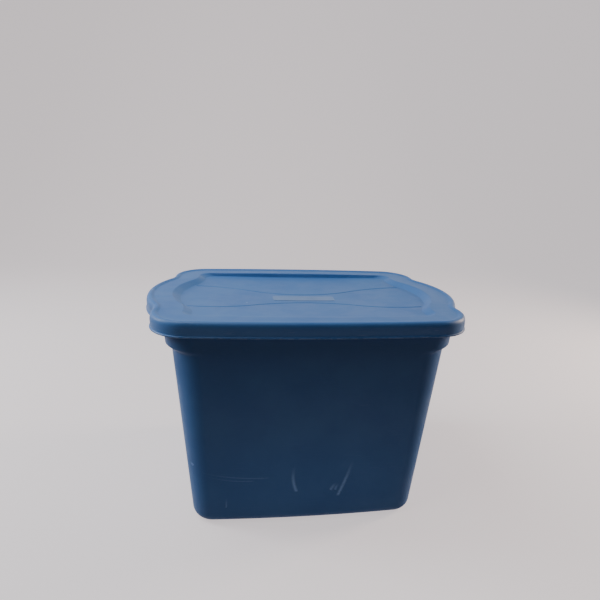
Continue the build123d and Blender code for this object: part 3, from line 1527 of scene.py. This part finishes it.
        # painted shade: the more concave the surface, the more dark navy, standing in for shade in
        # creases and grooves
        crease_shading = {
            "Value": bent,
            "From Min": self.crease_shade_to,
            "From Max": self.crease_shade_from,
            "To Min": self.crease_shade_strength,
            "To Max": 0.0,
        }
        crease_shade = add_node(tree, Node.RANGE, crease_shading, **EASED)
        colour = to_linear(self.colour)
        layers = ((cloud, self.shade), (crease_shade, self.crease_shade_colour), (wear_and_edge_highlight, self.rub_highlight_colour))
        for mask, over in layers:
            mix = {"Factor": mask, 6: colour, 7: to_linear(over)}
            colour = add_node(tree, Node.MIX, mix, 2, data_type="RGBA")
        sheen = add_node(tree, Node.NOISE, self.pattern(place, self.wave_mm, 3.0))
        soft = {"Value": sheen, "From Min": self.soft_from, "From Max": self.soft_to}
        sheen = add_node(tree, Node.RANGE, soft, **EASED)
        spread = {0: sheen, 1: self.roughest - self.smoothest, 2: self.smoothest}
        rough = add_node(tree, Node.MATH, spread, operation="MULTIPLY_ADD")
        worn = {0: wear_and_edge_highlight, 1: self.worn_roughness, 2: rough}
        rough = add_node(tree, Node.MATH, worn, operation="MULTIPLY_ADD")
        bumps = {}
        reliefs = (
            (self.wave_mm, 2.0, self.wave_depth_mm),
            (self.grain_mm, 1.0, self.grain_depth_mm),
        )
        for size_mm, detail, depth_mm in reliefs:
            height = add_node(tree, Node.NOISE, self.pattern(place, size_mm, detail))
            bumps |= {"Height": height, "Distance": depth_mm * MM}
            bumps["Normal"] = add_node(tree, Node.BUMP, bumps)
        tree.links.new(colour, shader.inputs["Base Color"])
        tree.links.new(rough, shader.inputs["Roughness"])
        tree.links.new(bumps["Normal"], shader.inputs["Normal"])
        shader.inputs["Specular IOR Level"].default_value = self.shine
        return material


def dress(obj: bpy.types.Object, material: bpy.types.Material, body: Body) -> None:
    """Gives a piece its finish and lets it move with its body.

    Args:
        obj: The piece.
        material: Its material.
        body: The body that it moves with.
    """
    obj.data.materials.clear()
    obj.data.materials.append(material)
    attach(obj, body.value)


# ---------------------------------------------------------------- the studio


@dataclass(frozen=True)
class Softbox:
    """A soft light: where it stands, what it faces, its size and its power."""

    name: str
    place: tuple[float, float, float]
    target: tuple[float, float, float]
    size: tuple[float, float]
    power: float
    colour: str = "#FFFFFF"

    def build(self) -> bpy.types.Object:
        """Makes the light.

        Returns:
            The light.
        """
        bpy.ops.object.light_add(type="AREA", location=self.place)
        lamp = bpy.context.object
        lamp.name = self.name
        lamp.data.shape = "RECTANGLE"
        lamp.data.size, lamp.data.size_y = self.size
        lamp.data.energy = self.power
        lamp.data.color = to_linear(self.colour)[:3]
        way = Vector(self.target) - Vector(self.place)
        lamp.rotation_euler = way.to_track_quat("-Z", "Y").to_euler()
        return lamp


@dataclass
class Studio:
    """A pale sweep, soft lights and the camera."""

    floor_half: float = 14.0
    wall_y: float = 3.2
    wall_height: float = 9.0
    bend: float = 1.2
    bend_segments: int = 16
    floor_colour: str = "#F7EDF0"
    floor_shade: str = "#A8A6A9"
    floor_glow: float = 0.85
    floor_roughness: float = 0.9
    floor_shine: float = 0.1
    sky_colour: str = "#DCE6F2"
    sky_strength: float = 0.03
    sky_seen: float = 0.72
    camera_place: tuple[float, float, float] = (-0.10992, -0.81669, 0.62749)
    camera_turn: float = -0.12532
    camera_tip: float = -0.28701
    camera_lean: float = -0.04179
    focal_share: float = 0.71026
    film_width: float = 36.0
    lights: tuple[Softbox, ...] = (
        Softbox("softbox_top", (-0.95, -0.05, 2.3), (0.0, 0.0, 0.3), (1.6, 1.1), 30.0),
        Softbox("softbox_left", (-2.0, 0.3, 1.3), (0.0, 0.0, 0.3), (0.6, 0.9), 33.0),
        Softbox("softbox_right", (1.9, 0.3, 0.9), (0.0, 0.0, 0.3), (0.4, 0.8), 36.0, "#FFE6D0"),
        Softbox("table_bounce", (0.0, -0.42, 0.03), (0.0, -0.16, 0.12), (0.6, 0.08), 0.13),
    )

    def build(self) -> None:
        """Sets up the sweep, the lights, the sky and the camera."""
        self.build_sweep()
        for light in self.lights:
            light.build()
        self.build_sky()
        self.build_camera()

    def build_sweep(self) -> None:
        """Makes the floor, which bends up into a back wall."""
        deselect_all()
        half = self.floor_half
        bpy.ops.mesh.primitive_plane_add(size=2 * half, location=(0.0, self.wall_y - half, 0.0))
        sweep = bpy.context.object
        sweep.name = "sweep"
        bpy.ops.object.transform_apply(location=True, rotation=False, scale=False)
        bpy.ops.object.mode_set(mode="EDIT")
        bpy.ops.mesh.select_mode(type="EDGE")
        edit = bmesh.from_edit_mesh(sweep.data)
        for edge in edit.edges:
            edge.select_set(all(v.co.y > self.wall_y - MM for v in edge.verts))
        bmesh.update_edit_mesh(sweep.data)
        bpy.ops.mesh.extrude_edges_move(
            TRANSFORM_OT_translate={"value": (0.0, 0.0, self.wall_height)}
        )
        edit = bmesh.from_edit_mesh(sweep.data)
        for edge in edit.edges:
            edge.select_set(
                all(v.co.y > self.wall_y - MM and abs(v.co.z) < MM for v in edge.verts)
            )
        bmesh.update_edit_mesh(sweep.data)
        bpy.ops.mesh.bevel(offset=self.bend, segments=self.bend_segments, affect="EDGES")
        bpy.ops.object.mode_set(mode="OBJECT")
        bpy.ops.object.shade_smooth()
        # matt paper off the roll: an even pale ground, with no shine to take the eye
        material = bpy.data.materials.new("matt_paper_sweep")
        material.use_nodes = True
        shader = material.node_tree.nodes["Principled BSDF"]
        shader.inputs["Base Color"].default_value = to_linear(self.floor_shade)
        shader.inputs["Roughness"].default_value = self.floor_roughness
        shader.inputs["Specular IOR Level"].default_value = self.floor_shine
        shader.inputs["Emission Color"].default_value = to_linear(self.floor_colour)
        shader.inputs["Emission Strength"].default_value = self.floor_glow
        sweep.data.materials.append(material)
        sweep.visible_diffuse = False

    def build_sky(self) -> None:
        """Gives the room its low even light, and a pale look past the end of the sweep."""
        world = bpy.data.worlds.new("room_light")
        world.use_nodes = True
        tree = world.node_tree
        sky = tree.nodes["Background"]
        sky.inputs["Color"].default_value = to_linear(self.sky_colour)
        seen = add_node(tree, Node.LIGHT_PATH, out="Is Camera Ray")
        rise = {0: seen, 1: self.sky_seen - self.sky_strength, 2: self.sky_strength}
        strength = add_node(tree, Node.MATH, rise, operation="MULTIPLY_ADD")
        tree.links.new(strength, sky.inputs["Strength"])
        bpy.context.scene.world = world

    def build_camera(self) -> None:
        """Sets the camera up."""
        deselect_all()
        bpy.ops.object.camera_add(location=self.camera_place)
        camera = bpy.context.object
        camera.name = "camera"
        turn = Matrix.Rotation(self.camera_turn, 3, "Z")
        turn @= Matrix.Rotation(self.camera_tip, 3, "X")
        turn @= Matrix.Rotation(self.camera_lean, 3, "Y")
        turn @= Matrix.Rotation(pi / 2, 3, "X")
        camera.rotation_euler = turn.to_euler()
        camera.data.sensor_width = self.film_width
        camera.data.lens = self.focal_share * self.film_width
        camera.data.dof.use_dof = False
        bpy.context.scene.camera = camera


# ---------------------------------------------------------------- putting it together


FRONT_SCUFFS = (
    Stroke((-26.0, 131.0), (-20.0, 69.0), -5.0, 4.6, 1.0),
    Stroke((80.0, 138.0), (56.0, 55.0), 1.5, 4.6, 1.0),
    Stroke((53.0, 88.0), (42.0, 70.0), -1.0, 4.4, 0.8),
    Stroke((57.0, 86.0), (51.0, 70.0), -1.0, 4.0, 0.7),
    Stroke((-202.0, 121.0), (-69.0, 104.0), -6.0, 2.4, 0.3),
    Stroke((-190.0, 112.0), (-96.0, 98.0), -5.0, 2.0, 0.24),
    Stroke((-148.0, 61.0), (-148.2, 38.0), 0.5, 2.4, 0.5),
    Stroke((-211.0, 131.0), (-205.0, 126.0), 0.0, 4.0, 0.7),
)

LID_SPECKS = (
    Stroke((-294.5, -4.5), (-292.5, 1.0), 0.0, 2.0, 0.9, flat=True),
    Stroke((-116.0, -33.0), (-111.5, -31.0), 0.0, 2.2, 0.9, flat=True),
)


@dataclass
class Tote:
    """The whole tote: a lid and a tub."""

    lid: Lid = field(default_factory=Lid)
    tub: Tub = field(default_factory=Tub)

    def build(self) -> None:
        """Builds and dresses every piece."""
        # injection-moulded polyethylene with a fine grain: soft highlights on the crest, edges
        # rubbed pale with a painted highlight on them, so the lid looks handled, and painted shade
        # darkening the creases and grooves of the recess
        lid_finish = MouldedPolyethylene(
            "blue_polyethylene_lid_fine_grain",
            "#4274B2",
            "#3C6EAE",
            # A9C2E4 is the rub colour: a painted highlight on convex edges along with their wear
            "#A9C2E4",
            0.42,
            0.49,
            0.3,
            scratch_strength=0.1,
            # strong rub on the lid's convex edges: a painted highlight on the crest and recess
            # rims, along with wear
            rub_highlight_from=0.515,
            rub_highlight_to=0.56,
            rub_highlight_strength=0.45,
            strokes=LID_SPECKS,
        ).build()
        # the same moulding where its tool was stippled: a duller, greyer patch with a coarse grain
        # the default crease settings paint shade into the pad's concave foot
        pad_finish = MouldedPolyethylene(
            "blue_polyethylene_pad_stippled",
            "#6385B6",
            "#5C7DAE",
            # A9C2E4 is the rub colour: a painted highlight on the pad's convex edges along with
            # their wear
            "#A9C2E4",
            0.5,
            0.6,
            0.5,
            grain_mm=1.6,
            grain_depth_mm=0.12,
        ).build()
        # injection-moulded polyethylene from a polished tool: long soft highlights that waver on
        # the thin walls, with pale scuffs low on the front
        # the default crease settings paint shade into the tub's concave creases and hollows
        tub_finish = MouldedPolyethylene(
            "blue_polyethylene_tub_satin",
            "#406DA8",
            "#3A66A2",
            # 8FB4EE is the rub colour: a painted highlight on convex edges along with their wear
            "#8FB4EE",
            0.44,
            0.52,
            0.15,
            wave_mm=60.0,
            scratch_strength=0.05,
            strokes=FRONT_SCUFFS,
        ).build()
        shell = self.lid.build()
        dress(shell, lid_finish, Body.LID)
        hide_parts("lid")
        log.info("lid: %d faces", len(shell.data.polygons))
        pad = Pad(self.lid).build()
        dress(pad, pad_finish, Body.LID)
        log.info("lid pad: %d faces", len(pad.data.polygons))
        tub = self.tub.build()
        dress(tub, tub_finish, Body.TUB)
        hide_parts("tub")
        log.info("tub: %d faces", len(tub.data.polygons))
        ribs = self.tub.build_ribs()
        dress(ribs, tub_finish, Body.TUB)
        log.info("hand hold ribs: %d faces", len(ribs.data.polygons))


def main() -> None:
    """Builds the tote and its studio."""
    logging.basicConfig(level=logging.INFO)
    Tote().build()
    Studio().build()


if __name__ == "__main__":
    main()
